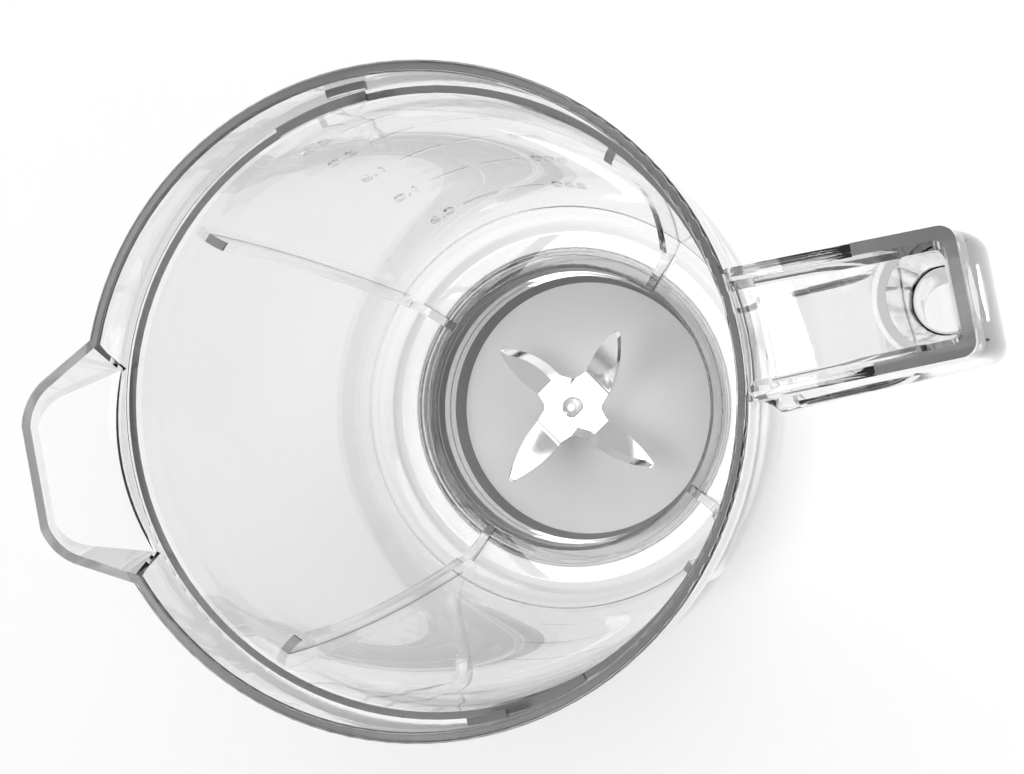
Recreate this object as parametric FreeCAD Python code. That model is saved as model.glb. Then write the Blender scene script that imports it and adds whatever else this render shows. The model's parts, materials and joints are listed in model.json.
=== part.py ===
"""Clear 1.5 litre blending jug with its screw-in blade unit.

Millimetres. Z is the jug's axis and the part stands on Z = 0. +X points to the handle, -X to the spout.
The moulded jug is one clear piece. The blade unit is a plastic holder with a bearing stack, the blade and its
shaft, and a screw collar that clamps the holder and its seal ring against the jug's neck.
"""

import FreeCAD
import Part
import math
import os

V = FreeCAD.Vector
UP = V(0, 0, 1)

# ---- driving dimensions ----
RIM_Z = 211.0               # height of the rim
RIM_R = 66.0                # outer radius of the rim
RIM_WALL = 2.3              # thickness of the collar wall at the rim
WALL = 2.2                  # thickness of the jug's wall
LEDGE_Z = 192.5             # lid ledge
LEDGE_R = 61.5              # radius of the wall at the lid ledge
WAIST_Z, WAIST_R = 112.0, 57.9      # a point half way down the barrel-shaped wall
KNEE_Z, KNEE_R = 54.0, 48.7         # where the wall starts to round into the floor
FLOOR_Z = 47.7              # jug floor round the well
FLOOR_R = 42.8              # outer radius of the flat floor
NECK_TOP_R = 34.8           # inner radius of the well at the floor
NECK_R = 33.2               # inner radius of the neck's lower end
NECK_OUTER_R = 38.5
NECK_END_Z = 30.5

HANDLE_DROP = 3.3           # handle's top edge below the rim
HANDLE_HALF_NEAR = 13.1     # half width of the handle at the jug
HANDLE_HALF_FAR = 12.4      # half width at the far bar
HANDLE_X = 108.4            # outer face of the handle at its top edge
HANDLE_WALL = 2.2
HANDLE_ROUND = 3.2          # rounding of the handle's long edges
VENT_R, VENT_X = 1.2, 67.0  # small hole through the lower bar into the hollow handle
LATCH_STEP_X = 88.8         # the bars are lower from here to the jug
LATCH_STEP = 1.3
TROUGH_DEPTH = 7.0          # the trough that runs along the handle's top
POCKET_X = 102.9            # axis of the grip's tapering pocket at its mouth
POCKET_MOUTH_R = 10.2
POCKET_STEP_R = 6.2         # at the step ring
POCKET_STEP_DROP = 31.0     # the step ring below the rim
POCKET_BOTTOM_X = 101.2
POCKET_BOTTOM_R = 5.6
POCKET_DROP = 69.0          # the pocket's floor below the rim
POCKET_WALL = 1.8

SPOUT_X = 78.3              # how far the spout's front lip is from the axis
SPOUT_FRONT_HALF = 10.5
SPOUT_WALL = 1.8
SPOUT_DEPTH = 13.0          # depth of the spout's floor where it leaves the collar

RIB_ANGLES = (45, 135, 225, 315)
RIB_THICK = 2.0
RIB_TOP_Z = 178.0
RIB_PROUD = 3.0             # how far a rib stands off the wall
LUG_ANGLES = (92, 272)      # lugs that hold the lid
LUG_DROP = 6.0              # their tops below the rim
LUG_HEIGHT = 2.4
LUG_PROUD = 1.6             # how far a lug stands off the collar wall
RAMP_ANGLES = (100, 280)    # low pads on the ledge beside the lugs

DISC_Z = 24.3               # edge of the blade holder's upper face
DISC_R = 31.8
FLANGE_R = 38.3             # outer radius of the holder's flange
FLANGE_THICK = 2.5
HUB_TOP_Z = 38.6            # top of the holder's hub
HUB_LIP = 0.8               # thickness of the lip that keeps the seal cap in
HOLDER_RIB_DROP = 2.6       # ribs under the holder's flange
HOLDER_RIM_R = 30.4         # ring that joins their outer ends

HOUSING_END_Z = 19.8        # lower end of the bearing housing
HOUSING_TOP_Z = 34.0
HOUSING_R = 6.0
HOUSING_FLANGE = 1.5        # thickness of the housing's lower flange
BUSH_R = 4.8                # outer radius of bushes, felt and shaft seal
FELT_Z0, FELT_Z1 = 25.3, 27.7       # oil felt between the two bushes
SEAL_TOP_Z = 37.0

SHAFT_R = 3.0
SHAFT_FIT = 0.03            # radial clearance of the shaft in its bushes
CLIP_Z, CLIP_DEPTH = 18.45, 0.5     # retaining ring and its groove
WASHER_TOP_Z = 39.6         # top of the washer on the hub
STUD_R = 2.6
PLATE_Z = 43.7              # underside of the blade
BLADE_THICK = 1.3
BLADE_HALF = 8.2            # from the axis to each fold of the blade's square centre
BLADE_NOTCH = 4.9           # from the axis to each hollow corner, along X and Y
EDGE_LEFT = 0.4             # thickness left at a ground edge
WING_HALF = 3.9             # half width of a wing at its fold
BLADE_TURN = 33.5           # angle of the first wing's fold from the handle

COUPLING_END_Z = 10.2       # lower end of the shaft and the coupling
COUPLING_TOP_Z = 17.8
COUPLING_R = 12.5
COUPLING_FLANGE = 2.4
COUPLING_HUB_R = 7.4
TOOTH_LONG, TOOTH_WIDE, TOOTH_HIGH = 5.2, 3.6, 6.2
INSERT_R = 5.4              # corner radius of the hexagonal insert
SCREW_R = 1.25
SCREW_HEAD_R = 2.7
SCREW_WASHER = 0.8          # thickness of the washer under the screw's head

COLLAR_TOP_Z = 42.5
COLLAR_TOP_R = 47.2
COLLAR_FOOT_R = 46.0
FLUTES = 48                 # grip flutes round the collar
FLUTE_R = 1.5
BASE_LUGS = 4               # locking lugs in the collar's chamber
BASE_LUG_PROUD, BASE_LUG_SIZE = 2.0, 7.0
GASKET_THICK = 1.0
SOCKET_R = 42.0             # bore that drops over a motor base
SOCKET_DEPTH = 7.0
CHAMBER_R = 40.6            # chamber above the socket, with the locking lugs
CHAMBER_TOP_Z = 17.0
CLAMP_R = 33.6              # inner radius of the flange that clamps the holder
THREAD_GAP = 0.35           # radial clearance between neck and collar
FIT_GAP = 0.15              # axial clearance between faces that turn on each other
FOOT_RING_Z = 1.6           # thickness of the soft foot ring


# ---- helpers ----
def cylinder(radius, z0, z1, x=0.0, y=0.0):
    return Part.makeCylinder(radius, z1 - z0, V(x, y, z0), UP)


def ring(outer, inner, z0, z1):
    return cylinder(outer, z0, z1).cut(cylinder(inner, z0 - 1, z1 + 1))


def line(a, b):
    return Part.LineSegment(a, b).toShape()


def arc(a, b, c):
    return Part.Arc(a, b, c).toShape()


def rz(radius, z):
    """A point in the half-plane through the axis."""
    return V(radius, 0, z)


def path_edges(steps):
    """Edges from a list of points. A pair (through, end) in the list makes an arc."""
    edges = []
    here = steps[0]
    for step in steps[1:]:
        if isinstance(step, tuple):
            through, end = step
            edges.append(arc(here, through, end))
            here = end
        else:
            edges.append(line(here, step))
            here = step
    return edges


def closed_face(steps):
    edges = path_edges(steps)
    last = steps[-1][1] if isinstance(steps[-1], tuple) else steps[-1]
    edges.append(line(last, steps[0]))
    return Part.Face(Part.Wire(edges))


def revolve(steps):
    """A solid of revolution about Z from an outline in the XZ half-plane."""
    return closed_face(steps).revolve(V(0, 0, 0), UP, 360)


def turned(shape, angle):
    copy = shape.copy()
    copy.rotate(V(0, 0, 0), UP, angle)
    return copy


def edges_where(shape, test):
    return [edge for edge in shape.Edges if test(edge)]


def fuse(first, *others):
    return first.fuse(list(others)).removeSplitter()


def write(name, shape):
    if not shape.isValid():
        print("INVALID", name)
    if shape.ShapeType != "Solid" and len(shape.Solids) == 1:
        shape = shape.Solids[0]
    shape.exportStep("parts/" + name + ".step")
    box = shape.optimalBoundingBox(False)
    print("%-20s solids %d  volume %8.1f  z %6.1f to %6.1f"
          % (name, len(shape.Solids), shape.Volume, box.ZMin, box.ZMax))


# ---- the clear jug ----
def wall_arc(offset):
    """Points of the barrel-shaped wall, moved outwards by offset: top, middle, bottom."""
    return (rz(LEDGE_R + offset, LEDGE_Z), rz(WAIST_R + offset, WAIST_Z), rz(KNEE_R + offset, KNEE_Z))


def jug_outside():
    """The jug's outer skin as a full solid: collar, barrel wall, knee, floor and neck."""
    _, middle, bottom = wall_arc(WALL)
    steps = [
        rz(0, NECK_END_Z),
        rz(NECK_OUTER_R - 0.6, NECK_END_Z),
        rz(NECK_OUTER_R, NECK_END_Z + 0.6),
        rz(NECK_OUTER_R, FLOOR_Z - WALL - 1.0),
        (rz(NECK_OUTER_R + 0.3, FLOOR_Z - WALL - 0.3), rz(NECK_OUTER_R + 1.0, FLOOR_Z - WALL)),
        rz(FLOOR_R + 0.4, FLOOR_Z - WALL),
        (rz(KNEE_R - 0.2, FLOOR_Z + 0.3), rz(KNEE_R + WALL - 0.1, KNEE_Z - 0.7)),
        bottom,
        (middle, rz(LEDGE_R + WALL - 0.1, LEDGE_Z - 5.0)),
        (rz(LEDGE_R + WALL + 0.3, LEDGE_Z - 3.2), rz(RIM_R - 1.4, LEDGE_Z - 2.0)),
        (rz(RIM_R - 0.7, LEDGE_Z - 1.6), rz(RIM_R - 0.4, LEDGE_Z - 0.8)),
        rz(RIM_R, RIM_Z - 0.7),
        (rz(RIM_R - 0.2, RIM_Z - 0.2), rz(RIM_R - 0.7, RIM_Z)),
        rz(0, RIM_Z),
    ]
    return revolve(steps)


def jug_inside():
    """The space inside the jug, from above the rim to below the neck."""
    top, middle, bottom = wall_arc(0.0)
    lip = RIM_R - RIM_WALL
    steps = [
        rz(0, NECK_END_Z - 1),
        rz(NECK_R, NECK_END_Z - 1),
        rz(NECK_R, NECK_END_Z),
        rz(NECK_TOP_R - 0.4, FLOOR_Z - 1.3),
        (rz(NECK_TOP_R - 0.1, FLOOR_Z - 0.8), rz(NECK_TOP_R + 0.5, FLOOR_Z - 0.5)),
        rz(37.4, FLOOR_Z - 0.5),
        rz(37.7, FLOOR_Z),
        rz(FLOOR_R, FLOOR_Z),
        (rz(47.0, 49.6), bottom),
        (middle, top),
        rz(lip - 0.7, LEDGE_Z),
        rz(lip - 0.2, LEDGE_Z + 0.5),
        rz(lip, RIM_Z - LUG_DROP + 0.2),
        rz(lip, RIM_Z - 0.6),
        (rz(lip + 0.2, RIM_Z - 0.15), rz(lip + 0.6, RIM_Z)),
        rz(lip + 0.6, RIM_Z + 5),
        rz(0, RIM_Z + 5),
    ]
    return revolve(steps)


def spout_plan(inset, z):
    """The spout's outline seen from above, at height z, drawn in by inset on its sides and front."""
    front = SPOUT_X - inset
    half = SPOUT_FRONT_HALF - 0.35 * inset
    side_in = 1.05 * inset
    root = V(-56.0, 27.0 - side_in, z)
    bend = V(-72.6 + 0.6 * inset, 18.3 - 0.8 * side_in, z)
    round_mid = V(-front + 1.5, half + 3.6, z)
    corner = V(-front, half, z)

    def mirrored(point):
        return V(point.x, -point.y, point.z)

    edges = [
        line(root, bend),
        arc(bend, round_mid, corner),
        line(corner, mirrored(corner)),
        arc(mirrored(corner), mirrored(round_mid), mirrored(bend)),
        line(mirrored(bend), mirrored(root)),
        line(mirrored(root), root),
    ]
    return Part.Wire(edges)


def above_slope(x0, z0, x1, z1):
    """A big block above the sloping plane through (x0, z0) and (x1, z1)."""
    reach = 60.0
    grade = (z1 - z0) / (x1 - x0)
    low_x = x1 - 20
    high_x = x0 + 20
    corners = [
        V(low_x, -reach, z0 + grade * (low_x - x0)),
        V(high_x, -reach, z0 + grade * (high_x - x0)),
        V(high_x, -reach, RIM_Z + 40),
        V(low_x, -reach, RIM_Z + 40),
    ]
    return Part.Face(Part.makePolygon(corners + corners[:1])).extrude(V(0, 2 * reach, 0))


def spout_block(low_z, low_inset, rim_inset):
    """The spout's drafted form, from low_z to a little above the rim."""
    spare = 4.0
    top_inset = rim_inset - (low_inset - rim_inset) * spare / (RIM_Z - low_z)
    return Part.makeLoft([spout_plan(low_inset, low_z), spout_plan(top_inset, RIM_Z + spare)], True)


def spout_outside():
    block = spout_block(RIM_Z - 26, 5.0, 0.0)
    return block.common(above_slope(-64.0, RIM_Z - SPOUT_DEPTH - 4.5, -SPOUT_X, RIM_Z - 3.2))


def spout_inside():
    block = spout_block(RIM_Z - 22, SPOUT_WALL + 5.0, SPOUT_WALL)
    return block.common(above_slope(-63.5, RIM_Z - SPOUT_DEPTH, -SPOUT_X, RIM_Z - 0.6))


def handle_outline():
    """Side view of the handle's outer shape."""
    top = RIM_Z - HANDLE_DROP
    steps = [
        V(57.0, 0, 90.0),
        V(91.0, 0, 109.5),
        (V(105.5, 0, 122.5), V(110.6, 0, 141.0)),
        (V(111.5, 0, 168.0), V(109.4, 0, 195.0)),
        V(HANDLE_X, 0, top),
        V(62.5, 0, top),
    ]
    return closed_face(steps)


def finger_gap():
    """Side view of the space for the fingers."""
    steps = [
        V(50.0, 0, 101.0),
        V(78.0, 0, 117.0),
        (V(88.5, 0, 125.5), V(91.8, 0, 138.0)),
        (V(92.4, 0, 158.0), V(90.6, 0, 177.0)),
        (V(86.8, 0, 186.0), V(78.0, 0, 190.0)),
        V(50.0, 0, 190.0),
    ]
    return closed_face(steps)


def taper_side(inset, z0, z1):
    """Plan of the handle between z0 and z1, its sides drawn in by inset."""
    near = HANDLE_HALF_NEAR - inset
    far = HANDLE_HALF_FAR - inset
    corners = [V(40, -near, z0), V(125, -far, z0), V(125, far, z0), V(40, near, z0)]
    return Part.Face(Part.makePolygon(corners + corners[:1])).extrude(V(0, 0, z1 - z0))


def handle_solid():
    half = HANDLE_HALF_NEAR + 1
    block = handle_outline().extrude(V(0, 2 * half, 0))
    block.translate(V(0, -half, 0))
    block = block.common(taper_side(0.0, 80, RIM_Z))
    gap = finger_gap().extrude(V(0, 2 * half, 0))
    gap.translate(V(0, -half, 0))
    handle = block.cut(gap)
    top = RIM_Z - HANDLE_DROP

    def long_edge(edge):
        box = edge.BoundBox
        on_side = abs(abs(box.YMax + box.YMin) / 2) > HANDLE_HALF_FAR - 1.5 and box.YLength < 1.5
        below_top = box.ZMin < top - 3
        return on_side and below_top and edge.Length > 6 and box.XMax > 70

    return handle.makeFillet(HANDLE_ROUND, edges_where(handle, long_edge))


def handle_pocket():
    """The trough along the handle's top and the tapering pocket down the grip."""
    top = RIM_Z - HANDLE_DROP
    near = HANDLE_HALF_NEAR - HANDLE_WALL
    far = HANDLE_HALF_FAR - HANDLE_WALL
    far_x = HANDLE_X - HANDLE_WALL
    floor = top - TROUGH_DEPTH

    def trough_plan(z, inset):
        x0 = 64.5
        x1 = far_x - 0.4 * inset
        corner = 2.2
        points = [
            V(x0, -near + inset, z),
            V(x1 - corner, -far + inset, z),
            V(x1, -far + inset + corner, z),
            V(x1, far - inset - corner, z),
            V(x1 - corner, far - inset, z),
            V(x0, near - inset, z),
        ]
        middle = (x1 - 0.3 * corner, far - inset - 0.3 * corner)
        edges = [
            line(points[0], points[1]),
            arc(points[1], V(middle[0], -middle[1], z), points[2]),
            line(points[2], points[3]),
            arc(points[3], V(middle[0], middle[1], z), points[4]),
            line(points[4], points[5]),
            line(points[5], points[0]),
        ]
        return Part.Wire(edges)

    trough = Part.makeLoft([trough_plan(floor, 2.0), trough_plan(top + 1, 0.0)], True)
    step_z = RIM_Z - POCKET_STEP_DROP
    bottom_z = RIM_Z - POCKET_DROP

    def circle(radius, x, z):
        return Part.Wire(Part.Circle(V(x, 0, z), UP, radius).toShape())

    mouth = circle(POCKET_MOUTH_R, POCKET_X, floor + 0.5)
    funnel = Part.makeLoft([circle(POCKET_STEP_R + 0.4, POCKET_X, step_z), mouth], True)
    within = Part.makeBox(40, 2 * (far - 1.0), 60, V(far_x - 1.2 - 40, 1.0 - far, step_z - 1))
    funnel = funnel.common(within)
    bottom = circle(POCKET_BOTTOM_R, POCKET_BOTTOM_X, bottom_z)
    bore = Part.makeLoft([bottom, circle(POCKET_STEP_R, POCKET_X, step_z + 0.8)], True)
    return trough, funnel, bore


def latch_step():
    """The block that lowers the bars' tops from the jug to the latch edge."""
    top = RIM_Z - HANDLE_DROP
    reach = LATCH_STEP_X - RIM_R + 10
    half = HANDLE_HALF_NEAR + 1
    return Part.makeBox(reach, 2 * half, LATCH_STEP + 5, V(LATCH_STEP_X - reach, -half, top - LATCH_STEP))


def handle_hollow():
    """The hollow inside the handle's walls, round the pocket's own thin wall, with its small vent."""
    roof = RIM_Z - HANDLE_DROP - TROUGH_DEPTH - HANDLE_WALL
    steps = [
        V(62.5, 0, 96.0),
        V(90.0, 0, 111.7),
        (V(103.6, 0, 124.0), V(108.3, 0, 141.4)),
        (V(109.2, 0, 168.0), V(107.1, 0, roof)),
        V(68.5, 0, roof),
        V(68.5, 0, 192.3),
        V(78.3, 0, 192.3),
        (V(88.6, 0, 188.0), V(92.9, 0, 177.6)),
        (V(94.7, 0, 158.0), V(94.1, 0, 137.6)),
        (V(90.6, 0, 124.0), V(79.2, 0, 114.9)),
        V(62.5, 0, 105.3),
    ]
    half = HANDLE_HALF_NEAR + 1
    block = closed_face(steps).extrude(V(0, 2 * half, 0))
    block.translate(V(0, -half, 0))
    block = block.common(taper_side(HANDLE_WALL, 80, RIM_Z))
    step_z = RIM_Z - POCKET_STEP_DROP
    bottom_z = RIM_Z - POCKET_DROP - POCKET_WALL
    cone = Part.makeCone(POCKET_STEP_R + POCKET_WALL, POCKET_MOUTH_R + POCKET_WALL + 0.4, roof + 2 - step_z,
                         V(POCKET_X, 0, step_z), UP)
    tube = cylinder(POCKET_STEP_R + POCKET_WALL, bottom_z, step_z + 1, POCKET_X - 0.8)
    vent = cylinder(VENT_R, 85.0, 100.0, VENT_X)
    return block.cut(cone).cut(tube).fuse(vent)


def rib(angle):
    """One inner rib: a thin plate that follows the wall from near the ledge to the well."""
    _, middle, _ = wall_arc(1.0)
    steps = [
        rz(LEDGE_R + 0.6, RIB_TOP_Z),
        (rz(LEDGE_R - RIB_PROUD + 1.0, RIB_TOP_Z - 1.2), rz(LEDGE_R - RIB_PROUD - 0.1, RIB_TOP_Z - 5)),
        (rz(WAIST_R - RIB_PROUD - 0.2, WAIST_Z), rz(KNEE_R - RIB_PROUD - 0.8, KNEE_Z + 6)),
        (rz(KNEE_R - 6.2, KNEE_Z - 1.2), rz(FLOOR_R - 4.0, FLOOR_Z + 2.6)),
        rz(NECK_TOP_R + 1.6, FLOOR_Z + 1.6),
        (rz(NECK_TOP_R + 0.7, FLOOR_Z + 1.0), rz(NECK_TOP_R + 0.6, FLOOR_Z - 1.0)),
        rz(FLOOR_R + 1.0, FLOOR_Z - 1.0),
        rz(KNEE_R + 1.2, KNEE_Z - 0.4),
        (middle, rz(LEDGE_R + 0.8, RIB_TOP_Z - 4)),
    ]
    plate = closed_face(steps).extrude(V(0, RIB_THICK, 0))
    plate.translate(V(0, -RIB_THICK / 2, 0))
    return turned(plate, angle)


def ring_sector(outer, inner, z0, z1, middle, half_angle):
    """Part of a flat ring, half_angle to each side of the angle called middle."""
    reach = 1.5 * outer
    spread = reach * math.tan(math.radians(half_angle))
    corners = [V(0, 0, z0), V(reach, -spread, z0), V(reach, spread, z0)]
    wedge = Part.Face(Part.makePolygon(corners + corners[:1])).extrude(V(0, 0, z1 - z0))
    return turned(ring(outer, inner, z0, z1).common(wedge), middle)


def lock_lug(angle):
    """A short lug inside the collar that a lid turns under."""
    outer = RIM_R - RIM_WALL + 0.6
    top = RIM_Z - LUG_DROP
    return ring_sector(outer, outer - 0.6 - LUG_PROUD, top - LUG_HEIGHT, top, angle, 3.6)


def ledge_ramp(angle):
    """A long low pad on the lid ledge beside each lug."""
    return ring_sector(RIM_R - RIM_WALL + 0.2, LEDGE_R + 0.05, LEDGE_Z - 0.4, LEDGE_Z + 1.0, angle, 9.0)


def jug_body():
    trough, funnel, bore = handle_pocket()
    handle = handle_solid().cut(latch_step())
    above_rim = cylinder(2 * RIM_R, RIM_Z, RIM_Z + 20)
    body = jug_outside().fuse([handle, spout_outside()])
    body = body.cut(above_rim)
    body = body.cut(jug_inside())
    body = body.cut(spout_inside())
    outside_wall = cylinder(RIM_R - 0.1, RIM_Z - 40, RIM_Z + 10)
    body = body.cut(trough.cut(outside_wall))
    body = body.cut(funnel)
    body = body.cut(bore)
    body = body.cut(handle_hollow())
    ribs = [rib(angle) for angle in RIB_ANGLES]
    lugs = [lock_lug(angle) for angle in LUG_ANGLES]
    ramps = [ledge_ramp(angle) for angle in RAMP_ANGLES]
    body = body.fuse(ribs + lugs + ramps)
    return body.removeSplitter()


# ---- the blade unit's fixed pieces ----
def blade_holder():
    """Plastic holder: a bell-shaped face, a flange for the seal and a ribbed underside."""
    bottom = DISC_Z - FLANGE_THICK
    steps = [
        rz(HOUSING_R, HOUSING_END_Z + HOUSING_FLANGE),
        rz(9.0, HOUSING_END_Z + HOUSING_FLANGE),
        rz(9.6, bottom),
        rz(FLANGE_R, bottom),
        rz(FLANGE_R, DISC_Z),
        rz(DISC_R, DISC_Z),
        (rz(20.0, DISC_Z + 1.5), rz(11.0, DISC_Z + 5.2)),
        (rz(7.6, DISC_Z + 8.6), rz(6.2, HUB_TOP_Z)),
        rz(3.6, HUB_TOP_Z),
        rz(3.6, HUB_TOP_Z - HUB_LIP),
        rz(BUSH_R, HUB_TOP_Z - HUB_LIP),
        rz(BUSH_R, HOUSING_TOP_Z),
        rz(HOUSING_R, HOUSING_TOP_Z),
    ]
    holder = revolve(steps)
    stiffeners = []
    for angle in range(0, 360, 45):
        rib_plate = Part.makeBox(20.0, 1.6, HOLDER_RIB_DROP + 0.4, V(9.2, -0.8, bottom - HOLDER_RIB_DROP))
        stiffeners.append(turned(rib_plate, angle))
    rim = ring(HOLDER_RIM_R, HOLDER_RIM_R - 1.8, bottom - HOLDER_RIB_DROP, bottom + 0.5)
    return fuse(holder, rim, *stiffeners)


def bearing_housing():
    """Steel sleeve with a flange under the holder. It carries the bushes and the felt."""
    flange_r = HOUSING_R + 1.4
    flange_z = HOUSING_END_Z + HOUSING_FLANGE
    return revolve([rz(BUSH_R, HOUSING_END_Z), rz(flange_r, HOUSING_END_Z), rz(flange_r, flange_z),
                    rz(HOUSING_R, flange_z), rz(HOUSING_R, HOUSING_TOP_Z), rz(BUSH_R, HOUSING_TOP_Z)])


def bush(z0, z1):
    bore = SHAFT_R + SHAFT_FIT
    chamfer = 0.4
    return revolve([rz(bore + chamfer, z0), rz(BUSH_R, z0), rz(BUSH_R, z1), rz(bore + chamfer, z1),
                    rz(bore, z1 - chamfer), rz(bore, z0 + chamfer)])


def shaft_seal():
    """Lip seal with its sealing lip standing just off the shaft."""
    lip = SHAFT_R + SHAFT_FIT
    return revolve([rz(4.0, HOUSING_TOP_Z), rz(BUSH_R, HOUSING_TOP_Z), rz(BUSH_R, SEAL_TOP_Z),
                    rz(lip, SEAL_TOP_Z), rz(lip, SEAL_TOP_Z - 0.5), rz(4.0, SEAL_TOP_Z - 1.2)])


def seal_cap():
    """Thin steel washer that keeps the seal in under the hub's lip."""
    return ring(BUSH_R, SHAFT_R + 0.3, SEAL_TOP_Z, HUB_TOP_Z - HUB_LIP)


def jug_seal():
    """Soft ring between the holder's flange and the neck's end, with a sloping inner face."""
    top = NECK_END_Z - FIT_GAP
    return revolve([rz(DISC_R, DISC_Z), rz(FLANGE_R, DISC_Z), rz(FLANGE_R, top), rz(NECK_R, top)])


def collar_gasket():
    top = DISC_Z - FLANGE_THICK
    return ring(FLANGE_R, CLAMP_R + 0.8, top - GASKET_THICK, top)


# ---- the screw collar ----
def base_collar():
    """Screw collar: threaded cup above, motor-base socket below, grip flutes and four locking lugs."""
    inner = NECK_OUTER_R + THREAD_GAP
    flange_top = DISC_Z - FLANGE_THICK - GASKET_THICK - FIT_GAP
    steps = [
        rz(CLAMP_R, CHAMBER_TOP_Z),
        rz(CHAMBER_R, CHAMBER_TOP_Z),
        rz(CHAMBER_R, SOCKET_DEPTH),
        rz(SOCKET_R, SOCKET_DEPTH),
        rz(SOCKET_R, FOOT_RING_Z),
        rz(COLLAR_FOOT_R, FOOT_RING_Z),
        rz(COLLAR_FOOT_R, 7.0),
        rz(COLLAR_TOP_R, 8.6),
        rz(COLLAR_TOP_R, COLLAR_TOP_Z - 2.0),
        (rz(COLLAR_TOP_R - 0.6, COLLAR_TOP_Z - 0.6), rz(COLLAR_TOP_R - 2.0, COLLAR_TOP_Z)),
        rz(inner + 0.8, COLLAR_TOP_Z),
        rz(inner, COLLAR_TOP_Z - 0.8),
        rz(inner, flange_top),
        rz(CLAMP_R, flange_top),
    ]
    collar = revolve(steps)
    flutes = []
    for index in range(FLUTES):
        groove = cylinder(FLUTE_R, 11.0, COLLAR_TOP_Z - 4.5, COLLAR_TOP_R + 0.8)
        flutes.append(turned(groove, 360 / FLUTES * index))
    collar = collar.cut(flutes)
    lugs = []
    corner = V(CHAMBER_R - BASE_LUG_PROUD, -BASE_LUG_SIZE / 2, SOCKET_DEPTH + 1.0)
    for index in range(BASE_LUGS):
        lug = Part.makeBox(BASE_LUG_PROUD + 0.6, BASE_LUG_SIZE, BASE_LUG_SIZE, corner)
        lugs.append(turned(lug, 45 + 360 / BASE_LUGS * index))
    return fuse(collar, *lugs)


def base_foot_ring():
    return ring(COLLAR_FOOT_R - 0.2, SOCKET_R, 0.0, FOOT_RING_Z)


# ---- the spinning pieces ----
def blade_shaft():
    """Steel shaft with a domed, D-flattened stud, a circlip groove and flats for the coupling."""
    steps = [
        rz(0, COUPLING_END_Z),
        rz(SHAFT_R - 0.3, COUPLING_END_Z),
        rz(SHAFT_R, COUPLING_END_Z + 0.3),
        rz(SHAFT_R, CLIP_Z - 0.05),
        rz(SHAFT_R - CLIP_DEPTH, CLIP_Z - 0.05),
        rz(SHAFT_R - CLIP_DEPTH, CLIP_Z + 0.65),
        rz(SHAFT_R, CLIP_Z + 0.65),
        rz(SHAFT_R, PLATE_Z),
        rz(STUD_R, PLATE_Z),
        rz(STUD_R, PLATE_Z + BLADE_THICK + 0.9),
        (rz(STUD_R - 0.8, PLATE_Z + BLADE_THICK + 1.7), rz(0, PLATE_Z + BLADE_THICK + 2.0)),
    ]
    shaft = revolve(steps)
    flat = Part.makeBox(10, 10, 10, V(STUD_R - 0.7, -5, PLATE_Z))
    shaft = shaft.cut(turned(flat, BLADE_TURN - 90))
    tap = cylinder(SCREW_R, COUPLING_END_Z - 1, COUPLING_END_Z + 6.6)
    return shaft.cut(tap)


def blade_centre():
    """The blade's flat centre: a square with hollow corners and a D-shaped hole."""
    fold = BLADE_HALF
    notch = BLADE_NOTCH
    steps = []
    for index in range(4):
        spin = FreeCAD.Rotation(UP, 90 * index)
        corner = [V(fold, WING_HALF, PLATE_Z), V(notch + 0.6, notch - 0.25, PLATE_Z),
                  V(notch + 0.1, notch + 0.1, PLATE_Z), V(notch - 0.25, notch + 0.6, PLATE_Z)]
        corner = [spin.multVec(point) for point in corner]
        steps += [corner[0], corner[1], (corner[2], corner[3])]
        steps.append(spin.multVec(V(WING_HALF, fold, PLATE_Z)))
    plate = closed_face(steps).extrude(V(0, 0, BLADE_THICK))
    hole = cylinder(STUD_R, PLATE_Z - 1, PLATE_Z + 3)
    flat = Part.makeBox(10, 10, 10, V(STUD_R - 0.7, -5, PLATE_Z - 2))
    hole = hole.cut(turned(flat, -90))
    return plate.cut(hole)


def bevel_wedge(edge_start, edge_end, width):
    """The wedge ground off a wing's top along the line between two points of its edge."""
    top = PLATE_Z + BLADE_THICK
    slope = (BLADE_THICK - EDGE_LEFT) / width
    run = edge_end - edge_start
    corners = [V(0, width, top), V(0, -4, top - slope * (width + 4)), V(0, -4, top + 2), V(0, width, top + 2)]
    wedge = Part.Face(Part.makePolygon(corners + corners[:1])).extrude(V(run.Length + 8, 0, 0))
    wedge.translate(V(-4, 0, 0))
    wedge.rotate(V(0, 0, 0), UP, math.degrees(math.atan2(run.y, run.x)))
    wedge.translate(V(edge_start.x, edge_start.y, 0))
    return wedge


def wing(length, bend, lower_half, bevel):
    """One curved wing, drawn flat along +X from its fold, then bent about the fold."""

    def at(along, across):
        return V(BLADE_HALF + along, across, PLATE_Z)

    start = at(0, -lower_half)
    nose_a = at(length - 0.8, 2.3)
    nose_b = at(length - 1.1, 4.3)
    outline = Part.Wire([
        arc(start, at(0.48 * length, -1.9), nose_a),
        arc(nose_a, at(length, 3.4), nose_b),
        arc(nose_b, at(0.5 * length, 4.9), at(0, WING_HALF)),
        line(at(0, WING_HALF), start),
    ])
    leaf = Part.Face(outline).extrude(V(0, 0, BLADE_THICK))
    if bevel > 0:
        leaf = leaf.cut(bevel_wedge(start, nose_a, bevel))
    pivot_z = PLATE_Z + BLADE_THICK / 2
    leaf.rotate(V(BLADE_HALF, 0, pivot_z), V(0, 1, 0), -bend)
    return leaf


def fold_round(lower_half):
    """Solid bar in the fold, so that the bent wing meets the flat centre all the way through."""
    middle = PLATE_Z + BLADE_THICK / 2
    length = WING_HALF + lower_half
    return Part.makeCylinder(BLADE_THICK / 2, length, V(BLADE_HALF, -lower_half, middle), V(0, 1, 0))


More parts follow.
